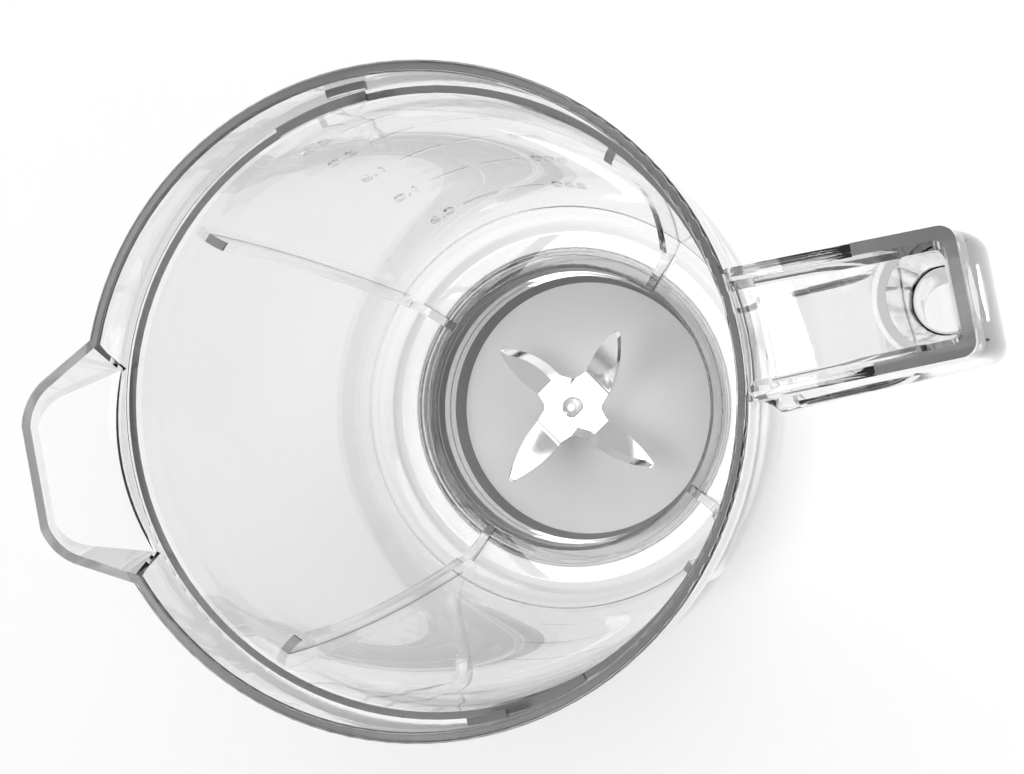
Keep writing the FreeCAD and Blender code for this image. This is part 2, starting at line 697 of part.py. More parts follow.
def blade():
    """One stamped sheet: two wings bent up, two bent slightly down with a ground cutting edge."""
    pieces = []
    for index in range(4):
        upward = index % 2 == 0
        length = 18.5 if upward else 16.0
        bend = 44.0 if upward else -15.0
        lower_half = WING_HALF if upward else WING_HALF - 0.9
        leaf = wing(length, bend, lower_half, 0 if upward else 1.9)
        pieces.append(turned(leaf, 90 * index))
        pieces.append(turned(fold_round(lower_half), 90 * index))
    whole = fuse(blade_centre(), *pieces)
    return turned(whole, BLADE_TURN)


def blade_spacer():
    """Sleeve that carries the blade above the washer."""
    bore = SHAFT_R + 0.02
    return revolve([rz(bore, WASHER_TOP_Z), rz(5.2, WASHER_TOP_Z), rz(5.6, WASHER_TOP_Z + 0.6),
                    rz(5.6, PLATE_Z), rz(bore, PLATE_Z)])


def washer(outer, z0, z1):
    return ring(outer, SHAFT_R + 0.02, z0, z1)


def circlip():
    """Open retaining ring in the shaft's groove."""
    clip = ring(4.6, SHAFT_R - CLIP_DEPTH + 0.02, CLIP_Z, CLIP_Z + 0.6)
    gap = Part.makeBox(6, 3.2, 2, V(1.0, -1.6, CLIP_Z - 0.7))
    return clip.cut(gap)


def hexagon(z0, z1):
    """Hexagonal bar that fits the coupling's pocket."""
    angles = [math.radians(60 * index) for index in range(7)]
    corners = [V(INSERT_R * math.cos(angle), INSERT_R * math.sin(angle), z0) for angle in angles]
    return Part.Face(Part.makePolygon(corners)).extrude(V(0, 0, z1 - z0))


def coupling_insert():
    """Hexagonal metal insert moulded into the coupling, pressed on the shaft."""
    bore = cylinder(SHAFT_R + 0.01, COUPLING_END_Z - 1, COUPLING_TOP_Z + 1)
    return hexagon(COUPLING_END_Z, COUPLING_TOP_Z).cut(bore)


def drive_coupling():
    """Coupling with six driving teeth round a hub that holds the metal insert."""
    hub = cylinder(COUPLING_HUB_R, COUPLING_END_Z, COUPLING_TOP_Z)
    flange = cylinder(COUPLING_R, COUPLING_TOP_Z - COUPLING_FLANGE, COUPLING_TOP_Z)
    teeth = []
    for index in range(6):
        tooth = Part.makeBox(TOOTH_LONG, TOOTH_WIDE, TOOTH_HIGH, V(6.8, -TOOTH_WIDE / 2, COUPLING_END_Z))
        teeth.append(turned(tooth, 60 * index))
    body = fuse(hub, flange, *teeth)
    return body.cut(hexagon(COUPLING_END_Z - 1, COUPLING_TOP_Z + 1))


def coupling_washer():
    return ring(6.4, SCREW_R + 0.15, COUPLING_END_Z - SCREW_WASHER, COUPLING_END_Z)


def coupling_screw():
    """Slotted screw that holds the coupling on the shaft."""
    seat = COUPLING_END_Z - SCREW_WASHER
    head = cylinder(SCREW_HEAD_R, seat - 1.7, seat)
    shank = cylinder(SCREW_R, seat, seat + 6.9)
    slot = Part.makeBox(6, 0.8, 0.8, V(-3, -0.4, seat - 1.8))
    return fuse(head, shank).cut(slot)


def main():
    os.makedirs("parts", exist_ok=True)
    write("jug_body", jug_body())
    write("blade_holder", blade_holder())
    write("bearing_housing", bearing_housing())
    write("upper_bush", bush(FELT_Z1, HOUSING_TOP_Z))
    write("lower_bush", bush(HOUSING_END_Z, FELT_Z0))
    write("oil_felt", ring(BUSH_R, SHAFT_R + 0.15, FELT_Z0, FELT_Z1))
    write("shaft_seal", shaft_seal())
    write("seal_cap", seal_cap())
    write("jug_seal", jug_seal())
    write("collar_gasket", collar_gasket())
    write("base_collar", base_collar())
    write("base_foot_ring", base_foot_ring())
    write("blade_shaft", blade_shaft())
    write("blade", blade())
    write("blade_spacer", blade_spacer())
    write("blade_washer", washer(5.0, HUB_TOP_Z + FIT_GAP, WASHER_TOP_Z))
    write("lower_thrust_washer", washer(5.4, CLIP_Z + 0.7, HOUSING_END_Z - FIT_GAP))
    write("circlip", circlip())
    write("coupling_insert", coupling_insert())
    write("drive_coupling", drive_coupling())
    write("coupling_washer", coupling_washer())
    write("coupling_screw", coupling_screw())


main()
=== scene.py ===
"""Looks of the clear blending jug: materials, small details, stage, light and camera."""
import json
import math

import bmesh
import bpy
from mathutils import Matrix, Vector, geometry
from mathutils.bvhtree import BVHTree


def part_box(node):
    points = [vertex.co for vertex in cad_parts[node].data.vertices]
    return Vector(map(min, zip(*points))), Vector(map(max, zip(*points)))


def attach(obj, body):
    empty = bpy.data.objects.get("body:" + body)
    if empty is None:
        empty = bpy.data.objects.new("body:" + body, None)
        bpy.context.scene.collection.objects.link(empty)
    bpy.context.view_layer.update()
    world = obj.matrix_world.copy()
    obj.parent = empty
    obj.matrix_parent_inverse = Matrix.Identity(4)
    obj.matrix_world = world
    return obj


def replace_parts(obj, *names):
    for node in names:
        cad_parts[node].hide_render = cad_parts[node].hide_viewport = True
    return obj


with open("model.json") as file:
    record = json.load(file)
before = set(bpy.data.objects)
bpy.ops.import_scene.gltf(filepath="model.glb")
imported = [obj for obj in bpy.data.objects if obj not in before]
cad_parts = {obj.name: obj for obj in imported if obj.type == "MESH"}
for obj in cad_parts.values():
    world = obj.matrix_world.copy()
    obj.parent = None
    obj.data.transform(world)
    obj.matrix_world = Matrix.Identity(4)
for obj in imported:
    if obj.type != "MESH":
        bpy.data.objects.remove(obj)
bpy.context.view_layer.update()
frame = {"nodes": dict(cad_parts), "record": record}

MM = 0.001
NODES = frame["nodes"]

# ---- camera: places in metres, roll in degrees, lens in mm ----
CAMERA_PLACE = Vector((0.13843, -0.03257, 0.77134))
CAMERA_TARGET = Vector((0.01841, -0.00072, 0.2))
CAMERA_ROLL = -86.324
CAMERA_LENS = 105.47
SENSOR_WIDTH = 36.0


def looking(place, target):
    """The matrix of a lamp or camera that stands at a place and looks at a target."""
    turn = (target - place).to_track_quat("-Z", "Y").to_matrix().to_4x4()
    return Matrix.Translation(place) @ turn


def make_camera():
    data = bpy.data.cameras.new("camera")
    data.lens = CAMERA_LENS
    data.sensor_width = SENSOR_WIDTH
    camera = bpy.data.objects.new("camera", data)
    bpy.context.scene.collection.objects.link(camera)
    roll = Matrix.Rotation(math.radians(CAMERA_ROLL), 4, "Z")
    camera.matrix_world = looking(CAMERA_PLACE, CAMERA_TARGET) @ roll
    bpy.context.scene.camera = camera


# ---- node helpers ----
NOISE_LOW, NOISE_HIGH = 0.3, 0.7    # most of a noise texture's values lie between these


def new_material(name):
    material = bpy.data.materials.new(name)
    material.use_nodes = True
    tree = material.node_tree
    shader = tree.nodes["Principled BSDF"]
    return material, tree, shader


def add(tree, kind, **values):
    """A new node with the settings given."""
    node = tree.nodes.new(kind)
    for key, value in values.items():
        setattr(node, key, value)
    return node


def feed(tree, socket, value):
    """Links another node's output to a socket, or sets a number or colour on it."""
    if isinstance(value, bpy.types.NodeSocket):
        tree.links.new(value, socket)
    else:
        socket.default_value = value


def calculate(tree, operation, value, *others):
    """Works through numbers and outputs in turn with one operation, and gives the result."""
    for other in others:
        node = add(tree, "ShaderNodeMath", operation=operation)
        tree.links.new(value, node.inputs[0])
        feed(tree, node.inputs[1], other)
        value = node.outputs["Value"]
    return value


def between(tree, value, low, high):
    """1 where a length lies between two others, which are in mm, and 0 elsewhere."""
    above = calculate(tree, "GREATER_THAN", value, low * MM)
    below = calculate(tree, "LESS_THAN", value, high * MM)
    return calculate(tree, "MULTIPLY", above, below)


def distance_from(tree, point, centre):
    node = add(tree, "ShaderNodeVectorMath", operation="DISTANCE")
    tree.links.new(point, node.inputs[0])
    node.inputs[1].default_value = centre
    return node.outputs["Value"]


def grey(level):
    return (level, level, level, 1.0)


def mix_colour(tree, factor, a, b, blend="MIX"):
    """Colour a where the factor is 0, and b laid over it where the factor is 1."""
    node = add(tree, "ShaderNodeMix", data_type="RGBA", blend_type=blend)
    feed(tree, node.inputs["Factor"], factor)
    feed(tree, node.inputs["A"], a)
    feed(tree, node.inputs["B"], b)
    return node.outputs["Result"]


def noise(tree, scale, detail=3.0, stretch=None):
    """Noise on the object's own coordinates, in features per metre."""
    place = add(tree, "ShaderNodeTexCoord")
    texture = add(tree, "ShaderNodeTexNoise")
    texture.inputs["Scale"].default_value = scale
    texture.inputs["Detail"].default_value = detail
    out = place.outputs["Object"]
    if stretch:
        mapping = add(tree, "ShaderNodeMapping")
        mapping.inputs["Scale"].default_value = stretch
        tree.links.new(out, mapping.inputs["Vector"])
        out = mapping.outputs["Vector"]
    tree.links.new(out, texture.inputs["Vector"])
    return texture.outputs["Fac"]


def spread(tree, value, low, high):
    """Maps noise to a range from low to high."""
    node = add(tree, "ShaderNodeMapRange")
    node.inputs["From Min"].default_value = NOISE_LOW
    node.inputs["From Max"].default_value = NOISE_HIGH
    node.inputs["To Min"].default_value = low
    node.inputs["To Max"].default_value = high
    tree.links.new(value, node.inputs["Value"])
    return node.outputs["Result"]


def bump(tree, shader, height, strength, distance):
    """Bumps on the shader's normal; the distance is in metres."""
    node = add(tree, "ShaderNodeBump")
    node.inputs["Strength"].default_value = strength
    node.inputs["Distance"].default_value = distance
    tree.links.new(height, node.inputs["Height"])
    tree.links.new(node.outputs["Normal"], shader.inputs["Normal"])


# ---- clear plastic and its finely ground faces, which carry painted shade: heights and radii in mm ----
RIM_R = 66.1                # just outside the jug's rim
TOP_Z = 207.2               # below the rim's top, and just below the high part of the handle's frame
LEDGE_Z = 190.0             # a little below the lid ledge
LUG_Z0, LUG_Z1 = 204.5, 205.5       # the lugs' top faces lie between these
RIB_Z0, RIB_Z1 = 171.0, 179.0       # so do the ribs' upper ends
POCKET_X, POCKET_R = 102.9, 12.8    # axis of the grip pocket, and a radius just outside its wall
POCKET_Z0, POCKET_Z1 = 200.0, 201.8     # the wall's upper end lies between these
LEVEL_FACE = 0.93           # least Z, up or down, of a level face's normal
SLOPING_FACE = 0.25         # the same for a rib's sloping upper end
CLEAR_IOR = 1.57
CLEAR_GREY = 0.99
RIM_PAINTED_SHADE_DARK, RIM_PAINTED_SHADE_PALE = 0.02, 0.13    # painted shade on the ground rim and ledge varies between these greys
# painted shade on the ground faces of the handle frame's top, the lugs, the ribs' upper ends and the grip
# pocket's wall
FRAME_PAINTED_SHADE = 0.22
LUG_PAINTED_SHADE = 0.01
RIB_PAINTED_SHADE = 0.45
POCKET_PAINTED_SHADE = 0.9
GROUND_ROUGH = 0.25
GROUND_CLOUDY = 0.5         # share of the light that a ground face doesn't let through; there its painted shade shows instead
SHADOW_GREY = 0.96          # share of the lamps' light that each face lets through
VOLUME_COLOUR = (0.0, 0.04, 0.03, 1.0)
VOLUME_DENSITY = 9.0        # absorption per metre


def ground_and_shaded_faces(tree):
    """Masks of the finely ground faces, which also get painted shade, found by their height, their radius and
    how level they are.
    """
    place = add(tree, "ShaderNodeTexCoord")
    split = add(tree, "ShaderNodeSeparateXYZ")
    tree.links.new(place.outputs["Object"], split.inputs["Vector"])
    height = split.outputs["Z"]
    plan = add(tree, "ShaderNodeCombineXYZ")
    tree.links.new(split.outputs["X"], plan.inputs["X"])
    tree.links.new(split.outputs["Y"], plan.inputs["Y"])
    radius = distance_from(tree, plan.outputs["Vector"], (0, 0, 0))
    pocket_radius = distance_from(tree, plan.outputs["Vector"], (POCKET_X * MM, 0, 0))
    in_rim = calculate(tree, "LESS_THAN", radius, RIM_R * MM)
    past_rim = calculate(tree, "GREATER_THAN", radius, RIM_R * MM)
    in_pocket = calculate(tree, "LESS_THAN", pocket_radius, POCKET_R * MM)

    facing = add(tree, "ShaderNodeNewGeometry")
    normal = add(tree, "ShaderNodeSeparateXYZ")
    tree.links.new(facing.outputs["True Normal"], normal.inputs["Vector"])
    upright = add(tree, "ShaderNodeMath", operation="ABSOLUTE")
    tree.links.new(normal.outputs["Z"], upright.inputs[0])
    level = calculate(tree, "GREATER_THAN", upright.outputs["Value"], LEVEL_FACE)
    sloping = calculate(tree, "GREATER_THAN", upright.outputs["Value"], SLOPING_FACE)

    top = calculate(tree, "GREATER_THAN", height, TOP_Z * MM)
    top_or_ledge = calculate(tree, "MAXIMUM", top, between(tree, height, LEDGE_Z, LUG_Z0))
    at_lugs = between(tree, height, LUG_Z0, LUG_Z1)
    at_rib_ends = between(tree, height, RIB_Z0, RIB_Z1)
    at_pocket = between(tree, height, POCKET_Z0, POCKET_Z1)
    return {
        "rim": calculate(tree, "MULTIPLY", level, in_rim, top_or_ledge),
        "frame": calculate(tree, "MULTIPLY", level, past_rim, top),
        "lugs": calculate(tree, "MULTIPLY", level, in_rim, at_lugs),
        "ribs": calculate(tree, "MULTIPLY", sloping, in_rim, at_rib_ends),
        "pocket": calculate(tree, "MULTIPLY", level, in_pocket, at_pocket),
    }


def clear_plastic():
    """Clear SAN: faint flow waves, some light absorbed inside, and ground faces with painted shade on them.
    Lamps shine through it.
    """
    material, tree, shader = new_material("clear_plastic")
    output = tree.nodes["Material Output"]
    shader.inputs["IOR"].default_value = CLEAR_IOR
    bump(tree, shader, noise(tree, scale=18.0, detail=1.0), strength=0.04, distance=0.002)

    masks = ground_and_shaded_faces(tree)
    # painted shade: the ground faces are greyed or darkened in the base colour, the rim unevenly
    uneven_rim_shade = spread(tree, noise(tree, scale=14.0, detail=1.0), low=0.0, high=1.0)
    painted_shades = {
        "rim": mix_colour(tree, uneven_rim_shade, grey(RIM_PAINTED_SHADE_DARK), grey(RIM_PAINTED_SHADE_PALE)),
        "frame": grey(FRAME_PAINTED_SHADE),
        "lugs": grey(LUG_PAINTED_SHADE),
        "ribs": grey(RIB_PAINTED_SHADE),
        "pocket": grey(POCKET_PAINTED_SHADE),
    }
    colour = grey(CLEAR_GREY)
    for name, mask in masks.items():
        colour = mix_colour(tree, mask, colour, painted_shades[name])
    tree.links.new(colour, shader.inputs["Base Color"])

    ground = calculate(tree, "ADD", *masks.values())
    clean_rough = spread(tree, noise(tree, scale=60.0), low=0.0, high=0.02)
    added_rough = calculate(tree, "MULTIPLY", ground, GROUND_ROUGH)
    tree.links.new(calculate(tree, "ADD", clean_rough, added_rough), shader.inputs["Roughness"])
    scattered = calculate(tree, "MULTIPLY", ground, -GROUND_CLOUDY)
    tree.links.new(calculate(tree, "ADD", scattered, 1.0), shader.inputs["Transmission Weight"])

    path = add(tree, "ShaderNodeLightPath")
    through = add(tree, "ShaderNodeBsdfTransparent")
    through.inputs["Color"].default_value = grey(SHADOW_GREY)
    surface = add(tree, "ShaderNodeMixShader")
    tree.links.new(path.outputs["Is Shadow Ray"], surface.inputs["Fac"])
    tree.links.new(shader.outputs["BSDF"], surface.inputs[1])
    tree.links.new(through.outputs["BSDF"], surface.inputs[2])
    tree.links.new(surface.outputs["Shader"], output.inputs["Surface"])
    volume = add(tree, "ShaderNodeVolumeAbsorption")
    volume.inputs["Color"].default_value = VOLUME_COLOUR
    volume.inputs["Density"].default_value = VOLUME_DENSITY
    tree.links.new(volume.outputs["Volume"], output.inputs["Volume"])
    return material


# ---- other materials ----
def moulded(name, level, roughness, grain=3600.0, strength=0.05):
    """Moulded plastic or rubber in a grey, with a fine grain."""
    material, tree, shader = new_material(name)
    tone = mix_colour(tree, noise(tree, scale=40.0), grey(level * 0.97), grey(level * 1.02))
    tree.links.new(tone, shader.inputs["Base Color"])
    gloss = spread(tree, noise(tree, scale=120.0), roughness - 0.04, roughness + 0.04)
    tree.links.new(gloss, shader.inputs["Roughness"])
    bump(tree, shader, noise(tree, grain), strength, distance=0.0002)
    return material


def metal(name, colour, roughness, brushed=(1.0, 1.0, 1.0)):
    """Metal with a fine grain, which brushed stretches along an axis where its number is small."""
    material, tree, shader = new_material(name)
    shader.inputs["Metallic"].default_value = 1.0
    grain = noise(tree, scale=900.0, detail=4.0, stretch=brushed)
    darker = [0.96 * share for share in colour]
    tone = mix_colour(tree, grain, (*darker, 1.0), (*colour, 1.0))
    tree.links.new(tone, shader.inputs["Base Color"])
    gloss = spread(tree, grain, 0.8 * roughness, 1.3 * roughness)
    tree.links.new(gloss, shader.inputs["Roughness"])
    bump(tree, shader, grain, strength=0.04, distance=0.0001)
    return material


def make_finishes():
    """One material for each of the record's material slots."""
    return {
        "clear_plastic": clear_plastic(),
        "grey_plastic": moulded("grey_plastic", 0.84, 0.4),
        "white_plastic": moulded("white_plastic", 0.74, 0.34),
        "black_plastic": moulded("black_plastic", 0.03, 0.4),
        "seal_rubber": moulded("seal_rubber", 0.2, 0.5),
        "foot_rubber": moulded("foot_rubber", 0.45, 0.6),
        "blade_steel": metal("blade_steel", (0.86, 0.86, 0.87), 0.1, brushed=(1.0, 0.06, 1.0)),
        "steel": metal("steel", (0.75, 0.75, 0.76), 0.36),
        "bronze": metal("bronze", (0.72, 0.5, 0.3), 0.35),
        "felt": moulded("felt", 0.5, 0.9, grain=8000.0, strength=0.5),
    }


def paint_nodes(finishes):
    slot_of = {part["node"]: part["material_slot"] for part in frame["record"]["subparts"]}
    for name, node in NODES.items():
        node.data.materials.clear()
        node.data.materials.append(finishes[slot_of[name]])
        for face in node.data.polygons:
            face.material_index = 0


# ---- blade: sizes in mm, angles in degrees, on its flat sheet before folding ----
PLATE_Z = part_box("blade_spacer")[1].z / MM      # underside of the blade
BLADE_THICK = 1.3
BLADE_TURN = 33.5
FOLD = 8.2                  # from the axis to each fold
BEND_R = 2.3                # radius of the sheet's middle in a fold
BEND_STEPS = 8
FOLD_LINE = (-6.0, 7.0)     # a fold line runs past both edges of its wing
UP_BEND, DOWN_BEND = 44.0, -15.0
UP_LENGTH, DOWN_LENGTH = 18.5, 16.0
WING_HALF = 3.9             # half width of an upward wing at its fold
DOWN_HALF = 3.0             # the same on a downward wing's ground side
NOTCH_X, NOTCH_Y = 5.4, 4.6         # where a wing's edges begin, beside the notches
LEAD_ALONG, LEAD_Y = 0.48, -1.9     # middle of the leading edge: share of the length, and place across
BACK_ALONG, BACK_Y = 0.5, 4.9       # middle of the back edge
NOSE_FRONT = (0.8, 2.3)     # start of the nose: before the wing's end, and across
NOSE_TIP_Y = 3.4
NOSE_BACK = (1.1, 4.3)      # end of the nose
LEAD_STEPS, NOSE_STEPS, BACK_STEPS = 28, 10, 24
GRIND_WIDTH = 2.3           # width of the ground bevel on the downward wings
GRIND_TAPER = 0.25          # share of it that is lost towards the nose
GRIND_EDGE = 0.35           # thickness left at the cutting edge
STUD_R = 2.6                # the hole's radius, over the shaft's stud
STUD_FLAT = 0.7             # how deep the flat is that makes the hole a D
STUD_STEP = 6
ON_LINE = 0.01              # a point this near to a line is on it
SAME_POINT = 1e-5
BLADE_SMOOTH = 14


def arc_points(a, b, c, count):
    """Points on the circle through a, b and c, from a to c."""
    ax, ay, bx, by, cx, cy = *a, *b, *c
    d = 2 * (ax * (by - cy) + bx * (cy - ay) + cx * (ay - by))
    aa, bb, cc = ax * ax + ay * ay, bx * bx + by * by, cx * cx + cy * cy
    centre = Vector(((aa * (by - cy) + bb * (cy - ay) + cc * (ay - by)) / d,
                     (aa * (cx - bx) + bb * (ax - cx) + cc * (bx - ax)) / d))
    start = Vector(a) - centre
    full = start.angle_signed(Vector(c) - centre)
    middle = start.angle_signed(Vector(b) - centre)
    if middle * full < 0 or abs(middle) > abs(full):
        full -= math.copysign(2 * math.pi, full)
    points = []
    for index in range(count + 1):
        turn = Matrix.Rotation(-full * index / count, 2)
        points.append(centre + turn @ start)
    return points


def wing_outline(length, lower_half):
    """One wing's flat outline: the leading edge from its notch to the nose, and the way back to the fold."""
    end = FOLD + length
    nose_front = (end - NOSE_FRONT[0], NOSE_FRONT[1])
    nose_back = (end - NOSE_BACK[0], NOSE_BACK[1])
    lead_start, lead_middle = (FOLD, -lower_half), (FOLD + LEAD_ALONG * length, LEAD_Y)
    back_middle, back_end = (FOLD + BACK_ALONG * length, BACK_Y), (FOLD, WING_HALF)
    lead = [Vector((NOTCH_X, -NOTCH_Y)), Vector(lead_start)]
    lead += arc_points(lead_start, lead_middle, nose_front, LEAD_STEPS)[1:]
    back = arc_points(nose_front, (end, NOSE_TIP_Y), nose_back, NOSE_STEPS)[1:]
    back += arc_points(nose_back, back_middle, back_end, BACK_STEPS)[1:]
    back.append(Vector((NOTCH_X, NOTCH_Y)))
    return lead, back


def inset_line(points, width):
    """The line that runs beside a path, width to its left, narrowing a little to its end."""
    line = []
    for index, point in enumerate(points):
        before = points[max(index - 1, 0)]
        after = points[min(index + 1, len(points) - 1)]
        along = (after - before).normalized()
        taper = 1.0 - GRIND_TAPER * index / len(points)
        line.append(point + Vector((-along.y, along.x)) * width * taper)
    return line


def on_line(point, path):
    """True if the point lies on the path."""
    for a, b in zip(path, path[1:]):
        nearest, share = geometry.intersect_point_line(point, a, b)
        if -ON_LINE <= share <= 1 + ON_LINE and (point - nearest.to_2d()).length < ON_LINE:
            return True
    return False


def inside(point, polygon):
    """True if the point is in the polygon."""
    result = False
    for a, b in zip(polygon, polygon[1:] + polygon[:1]):
        if (a.y > point.y) != (b.y > point.y):
            if point.x < a.x + (point.y - a.y) / (b.y - a.y) * (b.x - a.x):
                result = not result
    return result


def shaft_hole():
    """The outline of the D-shaped hole over the shaft's stud."""
    points = []
    for angle in range(0, 360, STUD_STEP):
        x = STUD_R * math.cos(math.radians(angle))
        y = STUD_R * math.sin(math.radians(angle))
        points.append(Vector((x, max(y, STUD_FLAT - STUD_R))))
    return points


def wing_bend(index):
    """A wing's bend in radians: every other wing is folded up, and the rest down."""
    return math.radians(UP_BEND if index % 2 == 0 else DOWN_BEND)


def flat_sheet():
    """The blade before folding: points, triangles, and the edges that are ground."""
    outline, creases, ground = [], [], []
    for index in range(4):
        bend = wing_bend(index)
        spin = Matrix.Rotation(math.radians(90 * index), 2)
        if bend > 0:
            lead, back = wing_outline(UP_LENGTH, WING_HALF)
        else:
            lead, back = wing_outline(DOWN_LENGTH, DOWN_HALF)
            bevel = [lead[0]] + inset_line(lead, GRIND_WIDTH)[:-1] + [back[NOSE_STEPS // 2]]
            creases.append([spin @ p for p in bevel])
            ground.append([spin @ p for p in lead])
        outline += [spin @ p for p in lead + back]
        for step in range(BEND_STEPS + 1):
            x = FOLD + BEND_R * abs(bend) * step / BEND_STEPS
            creases.append([spin @ Vector((x, y)) for y in FOLD_LINE])
    hole = shaft_hole()
    points, edges = [], []
    for path, closed in [(outline, True), (hole, True)] + [(line, False) for line in creases]:
        start = len(points)
        points += path
        edges += [(start + i, start + i + 1) for i in range(len(path) - 1)]
        if closed:
            edges.append((len(points) - 1, start))
    flat, _, faces, _, _, _ = geometry.delaunay_2d_cdt(points, edges, [], 0, SAME_POINT)
    kept = []
    for face in faces:
        centre = sum((flat[i] for i in face), Vector((0, 0))) / len(face)
        if inside(centre, outline) and not inside(centre, hole):
            kept.append(face)
    return flat, kept, ground


def bend_wing(point, angle):
    """Moves a point (along, across, height) of the flat sheet to its place in the folded one."""
    run = point.x - FOLD
    if run <= 0:
        return point
    side = math.copysign(1.0, angle)
    flat_run = BEND_R * abs(angle)
    turn = min(run, flat_run) / BEND_R
    rest = max(run - flat_run, 0.0)
    radius = BEND_R - side * point.z
    x = FOLD + radius * math.sin(turn) + rest * math.cos(turn)
    z = side * (BEND_R - radius * math.cos(turn) + rest * math.sin(turn))
    return Vector((x, point.y, z))


def folded_point(point, height):
    """The place, in metres, of a point of the flat sheet at a height from the sheet's middle."""
    sector = round(math.degrees(math.atan2(point.y, point.x)) / 90) % 4
    local = Matrix.Rotation(math.radians(-90 * sector), 2) @ point
    bent = bend_wing(Vector((local.x, local.y, height)), wing_bend(sector))
    turned = Matrix.Rotation(math.radians(90 * sector + BLADE_TURN), 3, "Z") @ bent
    return (turned + Vector((0, 0, PLATE_Z + BLADE_THICK / 2))) * MM


def blade_piece(finish):
    """The stamped four-wing blade: two wings folded up, two folded down and ground on their leading edges."""
    flat, triangles, ground = flat_sheet()
    mesh = bmesh.new()
    below, above = {}, {}
    for index in sorted({i for triangle in triangles for i in triangle}):
        sharp = any(on_line(flat[index], path) for path in ground)
        under = -BLADE_THICK / 2
        over = under + GRIND_EDGE if sharp else -under
        below[index] = mesh.verts.new(folded_point(flat[index], under))
        above[index] = mesh.verts.new(folded_point(flat[index], over))
    edge_uses = {}
    for a, b, c in triangles:
        if (flat[b] - flat[a]).cross(flat[c] - flat[a]) < 0:
            b, c = c, b
        mesh.faces.new([above[i] for i in (a, b, c)])
        mesh.faces.new([below[i] for i in (c, b, a)])
        for edge in ((a, b), (b, c), (c, a)):
            edge_uses.setdefault(frozenset(edge), []).append(edge)
    for uses in edge_uses.values():
        if len(uses) == 1:
            a, b = uses[0]
            mesh.faces.new([above[b], above[a], below[a], below[b]])
    return finish_piece("blade_sheet", mesh, finish, "rotor", BLADE_SMOOTH)


def finish_piece(name, mesh, finish, body, smooth_angle=35):
    """Makes an object of a bmesh, smooth except at edges sharper than the angle."""
    bmesh.ops.recalc_face_normals(mesh, faces=mesh.faces)
    limit = math.radians(smooth_angle)
    for face in mesh.faces:
        face.smooth = True
    for edge in mesh.edges:
        edge.smooth = len(edge.link_faces) == 2 and edge.calc_face_angle(0) < limit
    data = bpy.data.meshes.new(name)
    mesh.to_mesh(data)
    mesh.free()
    data.materials.append(finish)
    piece = bpy.data.objects.new(name, data)
    bpy.context.scene.collection.objects.link(piece)
    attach(piece, body)
    return piece


# ---- raised scale on the jug's outer wall: heights in mm, angles in degrees ----
LEVELS = (72.4, 98.1, 123.2, 147.0, 166.8)      # heights of the 250 ml marks
METRIC_LABELS = ("250", "500", "750", "1000", "1250")
METRIC_TICK = (81.0, 90.0)
METRIC_MIDDLE = 74.0
SECOND_LABELS = ("0.5", "1.0", "1.5", "2.0", "2.5")
SECOND_TICK = (93.0, 102.5)
SECOND_MIDDLE = 109.0
SMALL_LEVELS = (67.8, 86.3, 104.7)
SMALL_TICK = (-105.0, -81.0)
MARK_HIGH = 0.7             # height of a mark's foot along the wall
MARK_TOP = 0.6              # height of its top, as a share of that
MARK_PROUD = 0.35           # how far a mark stands off the wall
MARK_SUNK = 0.08            # how far its foot goes into the wall
FIGURE_SIZE = 6.0
RAY_START = 0.12            # metres from the jug's axis, outside its wall


def wall_finder():
    """Gives a function that finds a place off the jug's outer wall, by angle, height and distance."""
    mesh = NODES["jug_body"].data
    tree = BVHTree.FromPolygons([v.co for v in mesh.vertices], [tuple(p.vertices) for p in mesh.polygons])

    def at(angle, height, proud):
        out = Vector((math.cos(angle), math.sin(angle), 0.0))
        start = out * RAY_START + Vector((0, 0, height * MM))
        hit = tree.ray_cast(start, -out)[0]
        return hit + out * proud * MM

    return at


def tick(mesh, at, start, end, height):
    """A raised bar along the wall between two angles."""
    steps = max(2, round(abs(end - start)))
    half = MARK_HIGH / 2
    top = MARK_TOP * half
    section = ((-half, -MARK_SUNK), (-top, MARK_PROUD), (top, MARK_PROUD), (half, -MARK_SUNK))
    rows = []
    for index in range(steps + 1):
        angle = math.radians(start + (end - start) * index / steps)
        rows.append([mesh.verts.new(at(angle, height + rise, proud)) for rise, proud in section])
    for a, b in zip(rows, rows[1:]):
        for k in range(4):
            mesh.faces.new((a[k], b[k], b[(k + 1) % 4], a[(k + 1) % 4]))
    mesh.faces.new(rows[0][::-1])
    mesh.faces.new(rows[-1])


def figure(mesh, at, text, middle, height):
    """A raised number, centred on an angle and a height, that reads right from outside."""
    curve = bpy.data.curves.new("figure", "FONT")
    curve.body = text
    curve.size = FIGURE_SIZE
    curve.align_x = "CENTER"
    curve.align_y = "CENTER"
    curve.resolution_u = 3
    curve.extrude = 0.1
    holder = bpy.data.objects.new("figure", curve)
    flat = bpy.data.meshes.new_from_object(holder)
    start = len(mesh.verts)
    mesh.from_mesh(flat)
    mesh.verts.ensure_lookup_table()
    radius = at(math.radians(middle), height, 0.0).to_2d().length / MM
    for vertex in mesh.verts[start:]:
        proud = MARK_PROUD if vertex.co.z > 0 else -MARK_SUNK
        angle = math.radians(middle) + vertex.co.x / radius
        vertex.co = at(angle, height + vertex.co.y, proud)
    bpy.data.objects.remove(holder)
    bpy.data.curves.remove(curve)
    bpy.data.meshes.remove(flat)


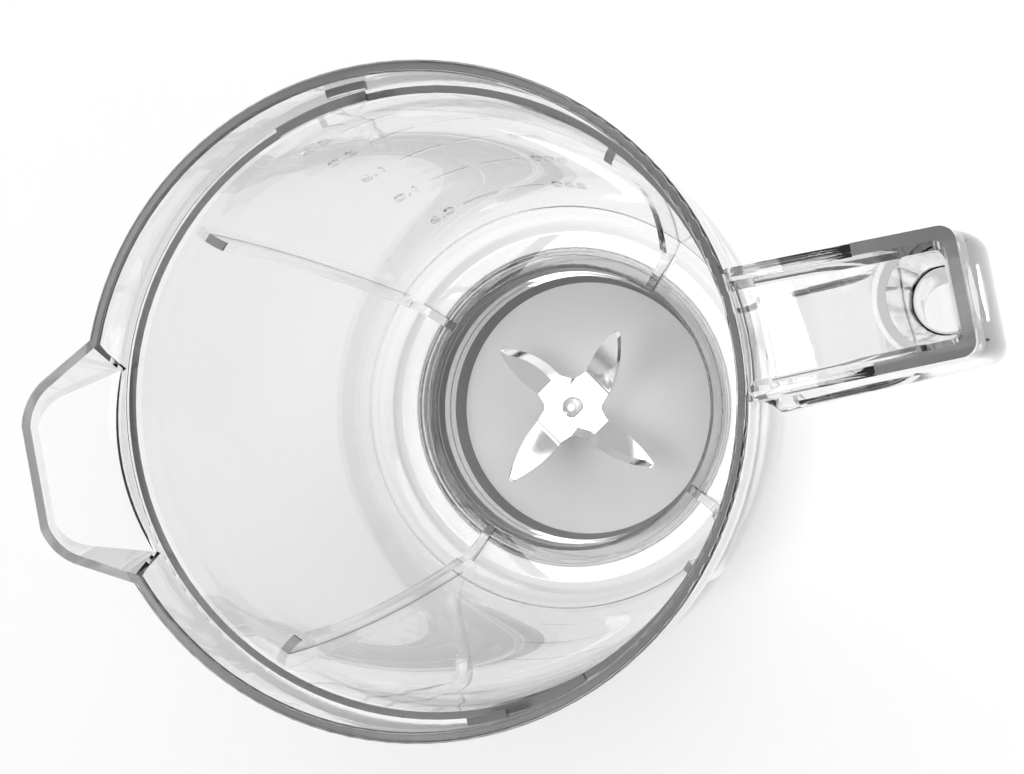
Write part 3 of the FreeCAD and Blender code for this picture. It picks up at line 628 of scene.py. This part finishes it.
def make_scale(finish):
    at = wall_finder()
    ticks = bmesh.new()
    figures = bmesh.new()
    for level, metric, second in zip(LEVELS, METRIC_LABELS, SECOND_LABELS):
        tick(ticks, at, *METRIC_TICK, level)
        tick(ticks, at, *SECOND_TICK, level)
        figure(figures, at, metric, METRIC_MIDDLE, level)
        figure(figures, at, second, SECOND_MIDDLE, level)
    for level in SMALL_LEVELS:
        tick(ticks, at, *SMALL_TICK, level)
    bmesh.ops.remove_doubles(figures, verts=figures.verts, dist=1e-6)
    finish_piece("scale_marks", ticks, finish, "jug")
    finish_piece("scale_figures", figures, finish, "jug")


# ---- stage and light: places and sizes in metres, power in watts ----
FLOOR_GREY = 0.94
BACKDROP_GREY = 0.93
HEIGHT_GREYS = ((0.0, 0.9), (0.4, 1.0), (0.9, 0.55))    # the studio's grey from the horizon to overhead
SIDE_GREYS = ((0.4, 1.0), (0.95, 0.4))      # and from its bright side to its dim one
DIM_SIDE = (-0.45, -0.21, 0.0)      # the direction of the dim side, about 0.5 long
EXPOSURE = 0.23


def make_floor():
    bpy.ops.mesh.primitive_plane_add(size=12.0)
    floor = bpy.context.active_object
    floor.name = "floor"
    material, _, shader = new_material("floor_paper")
    shader.inputs["Base Color"].default_value = grey(FLOOR_GREY)
    shader.inputs["Roughness"].default_value = 0.9
    shader.inputs["Specular IOR Level"].default_value = 0.1
    floor.data.materials.append(material)


def grey_ramp(tree, value, stops):
    """Greys that a value from 0 to 1 runs through, as pairs of value and grey."""
    ramp = add(tree, "ShaderNodeValToRGB")
    while len(ramp.color_ramp.elements) < len(stops):
        ramp.color_ramp.elements.new(0.5)
    for element, (position, level) in zip(ramp.color_ramp.elements, stops):
        element.position = position
        element.color = grey(level)
    tree.links.new(value, ramp.inputs["Fac"])
    return ramp.outputs["Color"]


def make_world():
    """Soft studio: white walls, dimmer on one side and overhead. The backdrop itself is plain and pale."""
    world = bpy.data.worlds.new("studio")
    bpy.context.scene.world = world
    world.use_nodes = True
    tree = world.node_tree
    place = add(tree, "ShaderNodeTexCoord")
    split = add(tree, "ShaderNodeSeparateXYZ")
    tree.links.new(place.outputs["Generated"], split.inputs["Vector"])
    by_height = grey_ramp(tree, split.outputs["Z"], HEIGHT_GREYS)
    side = add(tree, "ShaderNodeVectorMath", operation="DOT_PRODUCT")
    side.inputs[1].default_value = DIM_SIDE
    tree.links.new(place.outputs["Generated"], side.inputs[0])
    from_0_to_1 = calculate(tree, "ADD", side.outputs["Value"], 0.5)
    by_side = grey_ramp(tree, from_0_to_1, SIDE_GREYS)
    studio = mix_colour(tree, 1.0, by_height, by_side, blend="MULTIPLY")
    path = add(tree, "ShaderNodeLightPath")
    seen = mix_colour(tree, path.outputs["Is Camera Ray"], studio, grey(BACKDROP_GREY))
    tree.links.new(seen, tree.nodes["Background"].inputs["Color"])


def area_light(name, place, target, size, power):
    data = bpy.data.lights.new(name, "AREA")
    data.shape = "DISK"
    data.size = size
    data.energy = power
    light = bpy.data.objects.new(name, data)
    bpy.context.scene.collection.objects.link(light)
    light.matrix_world = looking(Vector(place), Vector(target))
    return light


def make_lights():
    area_light("key", place=(-0.5, 0.06, 1.9), target=(0, 0, 0.05), size=0.8, power=6.5)
    fill = area_light("fill", place=(1.3, 1.3, 1.5), target=(0, 0, 0.1), size=2.4, power=18.0)
    fill.visible_glossy = False


def set_view():
    """Plain colours, and enough bounces for light to pass through all the jug's clear walls."""
    scene = bpy.context.scene
    scene.view_settings.view_transform = "Standard"
    scene.view_settings.exposure = EXPOSURE
    scene.cycles.transmission_bounces = 20
    scene.cycles.max_bounces = 24
    scene.cycles.transparent_max_bounces = 16


make_camera()
finishes = make_finishes()
paint_nodes(finishes)
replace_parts(blade_piece(finishes["blade_steel"]), "blade")
make_scale(finishes["clear_plastic"])
make_floor()
make_world()
make_lights()
set_view()
